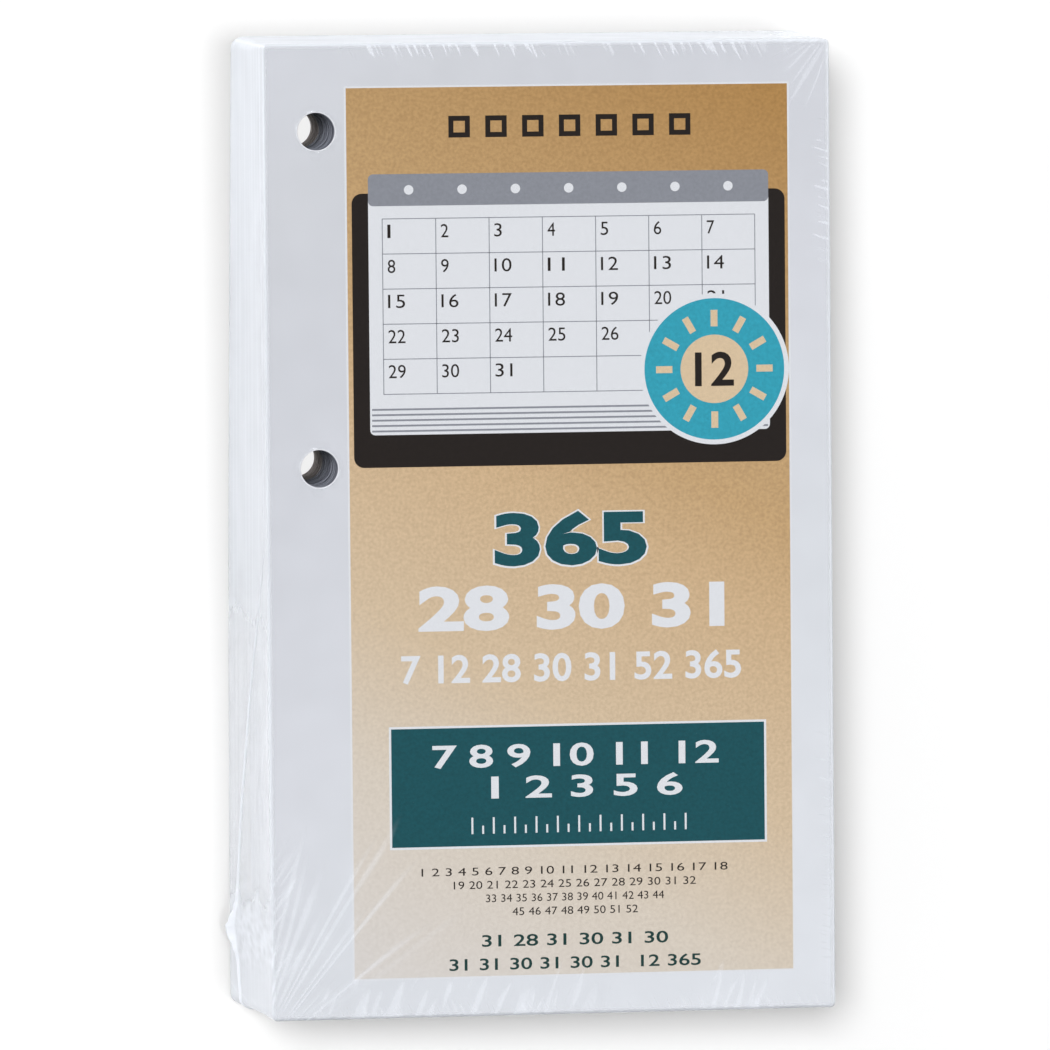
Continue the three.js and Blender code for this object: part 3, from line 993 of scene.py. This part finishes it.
def cover_print():
    """Everything printed on the cover sheet, one piece to a colour. Layers of ink, from the paper up:
    the panel's rule, the panel, what is printed on it, and from 7 the seal, over all the rest."""
    white = printed_ink("white_ink", "#E4E6EA", 0.02)
    black = printed_ink("black_ink", "#241E1B", 0.1)
    teal = printed_ink("teal_ink", "#1A525A", 0.12)
    green = printed_ink("dark_green_ink", "#1F3F3C", 0.1)
    blue = printed_ink("sky_blue_ink", "#35A2B8", 0.08)
    tan = printed_ink("pale_tan_ink", "#DCC4A2", 0.05)
    grey = printed_ink("grey_ink", "#8D9098", 0.06)

    bm = bmesh.new()
    ink_rectangle(bm, PANEL_LEFT, PANEL_TOP, PANEL_RIGHT, PANEL_BOTTOM, 2)
    ink_piece("print_kraft_panel", bm, kraft_tint_ink())

    bm = bmesh.new()
    rule = PANEL_RULE
    ink_rectangle(bm, PANEL_LEFT - rule, PANEL_TOP - rule, PANEL_RIGHT + rule, PANEL_BOTTOM + rule, 1)
    x0, y0, x1, y1 = BOX
    ink_rectangle(bm, x0 - BOX_RULE, y0 - BOX_RULE, x1 + BOX_RULE, y1 + BOX_RULE, 3)
    x0, y0, x1, y1 = PAGE
    ink_rectangle(bm, x0, y0, x1, y1 + 4.4, 4, corner=0.8)
    ink_disc(bm, *SEAL, SEAL_RADIUS, 7)
    ink_numerals(bm, "365", (35.2, 73.0, 60.0, 82.2), 3, bolder=0.05)
    ink_numerals(bm, "28 30 31", (23.3, 84.8, 72.0, 92.0), 3, bolder=0.035)
    ink_numerals(bm, "7 12 28 30 31 52 365", (20.5, 95.6, 74.6, 100.2), 3, bolder=0.02)
    ink_numerals(bm, "7 8 9 10 11 12", (25.3, 109.9, 70.9, 113.6), 5, bolder=0.018, gap=0.9)
    ink_numerals(bm, "1 2 3 5 6", (34.6, 114.9, 65.1, 118.5), 5, bolder=0.018)
    for i in range(21):
        tick = 1.3 if i % 2 else 2.6
        ink_rectangle(bm, 31.4 + 1.7 * i, 124.0 - tick, 31.7 + 1.7 * i, 124.0, 5)
    ink_piece("print_white", bm, white)

    bm = bmesh.new()
    ink_rectangle(bm, *BOX, 4)
    ink_numerals(bm, "365", (35.5, 73.3, 59.7, 81.9), 4, bolder=0.035)
    ink_piece("print_teal", bm, teal)

    bm = bmesh.new()
    x0, y0, x1, y1 = PAGE
    ink_rectangle(bm, x0 - 2.6, y0 + 3.0, x1 + 2.6, y1 + 9.5, 3, corner=1.6)
    # A row of seven open squares across the head of the cover, each of four bars
    bars = ((0, 0, 3.4, 0.8), (0, 2.6, 3.4, 3.4), (0, 0.8, 0.8, 2.6), (2.6, 0.8, 3.4, 2.6))
    for i in range(7):
        left, top = 28.8 + 5.83 * i, 11.0
        for x0, y0, x1, y1 in bars:
            ink_rectangle(bm, left + x0, top + y0, left + x1, top + y1, 3)
    # The weeks of the year in four rows: each row's first and last week, and half its width
    rows = ((1, 18, 24.4), (19, 32, 19.3), (33, 44, 14.2), (45, 52, 10.0))
    for i, (first, last, half) in enumerate(rows):
        text = " ".join(str(n) for n in range(first, last + 1))
        middle, y = 47.8, 129.3 + 2.15 * i
        ink_numerals(bm, text, (middle - half, y, middle + half, y + 1.25), 3)
    ink_piece("print_black", bm, black)

    bm = bmesh.new()
    ink_numerals(bm, "31 28 31 30 31 30", (32.9, 140.0, 62.6, 141.9), 3, bolder=0.012)
    ink_numerals(bm, "31 31 30 31 30 31  12 365", (27.7, 143.7, 67.8, 145.6), 3, bolder=0.012)
    ink_piece("print_dark_green", bm, green)

    month_page_lines(grey, black, white)
    seal(blue, tan, black)


def month_page_lines(grey, black, white):
    """The pictured month page: a plain grid with the days in order, on a dark desk pad."""
    x0, y0, x1, y1 = PAGE
    columns, rows = 7, 5
    half_line = 0.07
    grid_left, grid_top, grid_right, grid_bottom = x0 + 2.2, y0 + 7.0, x1 - 2.2, y1 - 2.0
    wide = (grid_right - grid_left) / columns
    high = (grid_bottom - grid_top) / rows
    bm = bmesh.new()
    ink_rectangle(bm, x0, y0, x1, y0 + 5.0, 5, corner=0.8)
    for i in range(columns + 1):
        x = grid_left + i * wide
        ink_rectangle(bm, x - half_line, grid_top, x + half_line, grid_bottom, 5)
    for i in range(rows + 1):
        y = grid_top + i * high
        ink_rectangle(bm, grid_left, y - half_line, grid_right, y + half_line, 5)
    # The edges of the sheets under the page
    for i in range(5):
        ink_rectangle(bm, x0 + 0.3, y1 + 0.25 + 0.85 * i, x1 - 0.3, y1 + 0.55 + 0.85 * i, 5)
    ink_piece("print_grey", bm, grey)
    bm = bmesh.new()
    for day in range(31):
        x = grid_left + (day % columns) * wide + 0.8
        y = grid_top + (day // columns) * high + 0.9
        width = (0.5 if day == 0 else 1.2) if day < 9 else 2.7
        ink_numerals(bm, str(day + 1), (x, y, x + width, y + 2.1), 5)
    ink_piece("print_page_days", bm, black)
    bm = bmesh.new()
    for i in range(columns):
        ink_disc(bm, grid_left + (i + 0.5) * wide, y0 + 2.5, 0.75, 6, 32)
    ink_piece("print_page_heads", bm, white)


def seal(blue, tan, black):
    """A plain round seal: blue with a tan sun, in the white ring that the white ink leaves."""
    x, y = SEAL
    bm = bmesh.new()
    ink_disc(bm, x, y, SEAL_RADIUS - 0.75, 8)
    ink_piece("print_seal_blue", bm, blue)
    bm = bmesh.new()
    ink_numerals(bm, "12", (x - 3.1, y - 2.7, x + 3.1, y + 2.7), 10, bolder=0.02)
    ink_piece("print_seal_black", bm, black)
    bm = bmesh.new()
    ink_disc(bm, x, y, 5.4, 9)
    rays = 12
    for i in range(rays):
        middle = Matrix.Translation(on_cover(x, y, 9 * INK))
        turn = Matrix.Rotation(2 * math.pi * i / rays, 4, "Z")
        away = Matrix.Translation((0, 8.0 * MM, 0))
        thicken(bm, faces_at(rectangle(bm, middle @ turn @ away, 1.1 * MM, 2.6 * MM)))
    ink_piece("print_seal_tan", bm, tan)


def studio():
    """A white table, two soft lamps nearly overhead, two low windows, and a pale room."""
    bm = bmesh.new()
    rectangle(bm, Matrix.Translation((0, 0, -0.2 * MM)), 6, 6)
    piece("table", bm, glowing_white("white_table", 0.89, 0.02, 0.15), None)

    # A glowing card under the ring holes: painted light, seen through them as bright white
    bm = bmesh.new()
    xs, ys = [x for x, y in HOLES], [y for x, y in HOLES]
    place = Matrix.Translation((sum(xs) / 2 * MM, sum(ys) / 2 * MM, -0.1 * MM))
    margin = 12
    rectangle(bm, place, margin * MM, (max(ys) - min(ys) + margin) * MM)
    piece("bright_card", bm, lit_card(), None)

    soft_lamp("overhead_lamp", (0.22, -0.17, -1), 2.25, 18, False)
    soft_lamp("second_overhead_lamp", (-0.14, 0.06, -1), 1.0, 12, False)
    soft_lamp("window_left", (1, -0.25, -0.165), 0.9, 20, True)
    soft_lamp("window_above", (0.2, -1, -0.165), 0.8, 20, True)

    world = bpy.data.worlds.new("pale_room")
    world.use_nodes = True
    add = node_adder(world.node_tree)
    add("OutputWorld", {"Surface": add("Background", {"Color": (1, 1, 1, 1), "Strength": 0.085})})
    bpy.context.scene.world = world


def soft_lamp(name, direction, strength, degrees, mirrored):
    """A distant soft lamp that shines along direction; mirrored says whether gloss shows it."""
    lamp = bpy.data.lights.new(name, "SUN")
    lamp.energy = strength
    lamp.angle = math.radians(degrees)
    holder = bpy.data.objects.new(name, lamp)
    holder.rotation_mode = "QUATERNION"
    holder.rotation_quaternion = Vector(direction).to_track_quat("-Z", "Y")
    holder.visible_glossy = mirrored
    bpy.context.scene.collection.objects.link(holder)


def camera():
    data = bpy.data.cameras.new("camera")
    data.lens = CAMERA_LENS
    data.sensor_width = 36
    data.clip_start, data.clip_end = 0.05, 20
    made = bpy.data.objects.new("camera", data)
    bpy.context.scene.collection.objects.link(made)
    place, aim = Vector(CAMERA_PLACE) * MM, Vector(CAMERA_AIM) * MM
    forward = (aim - place).normalized()
    across = forward.cross(Vector((0, 1, 0))).normalized()
    upright = across.cross(forward)
    turn = Matrix((across, upright, -forward)).transposed()
    roll = Matrix.Rotation(math.radians(CAMERA_ROLL), 3, "Z")
    made.matrix_world = Matrix.Translation(place) @ (turn @ roll).to_4x4()
    bpy.context.scene.camera = made


camera()
studio()
day_paper = uncoated_day_paper()
cover_stock = smooth_offset_paper()
punched_sheet("printed_cover", cover_low, cover_high, cover_stock, "cover_paper", 64, "cover_sheet")
for week in range(1, WEEKS + 1):
    node = f"week_{week:02d}_sheets"
    punched_sheet(f"week_{week:02d}_leaves", *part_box(node), day_paper, "page_paper", 48, node)
punched_sheet("day_365_leaf", *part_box("day_365_sheet"), day_paper, "page_paper", 48, "day_365_sheet")
cover_print()
wrapped_film(clear_shrink_film())

bpy.context.scene.view_settings.view_transform = "Standard"
